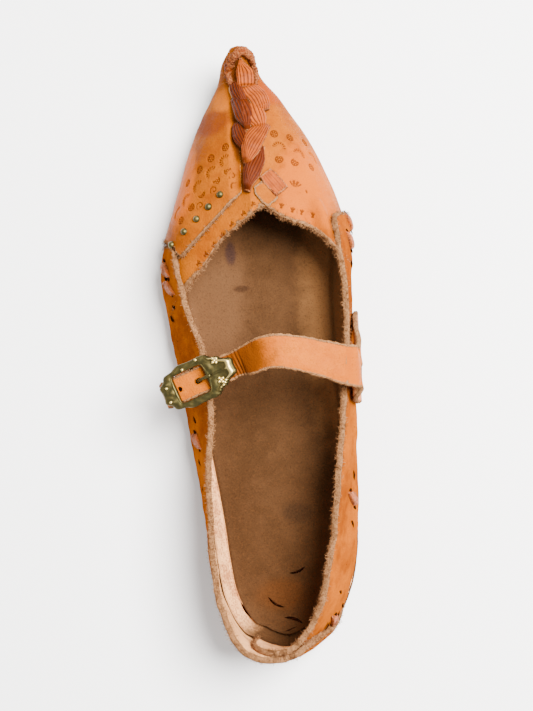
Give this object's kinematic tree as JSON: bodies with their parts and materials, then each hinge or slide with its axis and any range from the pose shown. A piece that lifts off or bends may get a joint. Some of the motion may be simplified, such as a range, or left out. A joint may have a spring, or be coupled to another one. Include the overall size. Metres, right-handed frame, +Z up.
{
  "type": "leather mary jane shoe",
  "caption": "Left flat leather shoe with a pointed braided toe, laced quarter and an instep strap buckled on the outer side.",
  "frame": {"origin": "on the floor, at the middle of the shoe's length on its long axis", "axes": "+Y towards the toe, +X towards the inner side of the foot, +Z up"},
  "size_m": [0.0959, 0.2767, 0.0591],
  "materials": {
    "sole_leather": "dense sole leather, cut edge, lightly scuffed",
    "footbed_leather": "flesh side up, brushed and stained by wear",
    "tan_leather": "vegetable-tanned grain, tooled, semi-gloss, raw cut edges",
    "strap_leather": "vegetable-tanned grain, smooth, creased at the holes",
    "aged_brass": "aged brass with a green-brown patina"
  },
  "bodies": {
    "root": {"outsole": "sole_leather", "insole": "footbed_leather", "upper": "tan_leather", "tooled_overlay": "tan_leather", "toe_braid": "tan_leather", "side_tab": "tan_leather", "stud_1": "aged_brass", "stud_2": "aged_brass", "stud_3": "aged_brass", "stud_4": "aged_brass", "stud_5": "aged_brass", "strap": "strap_leather", "buckle_tab": "strap_leather", "buckle_frame": "aged_brass", "buckle_prong": "aged_brass"}
  },
  "joints": []
}
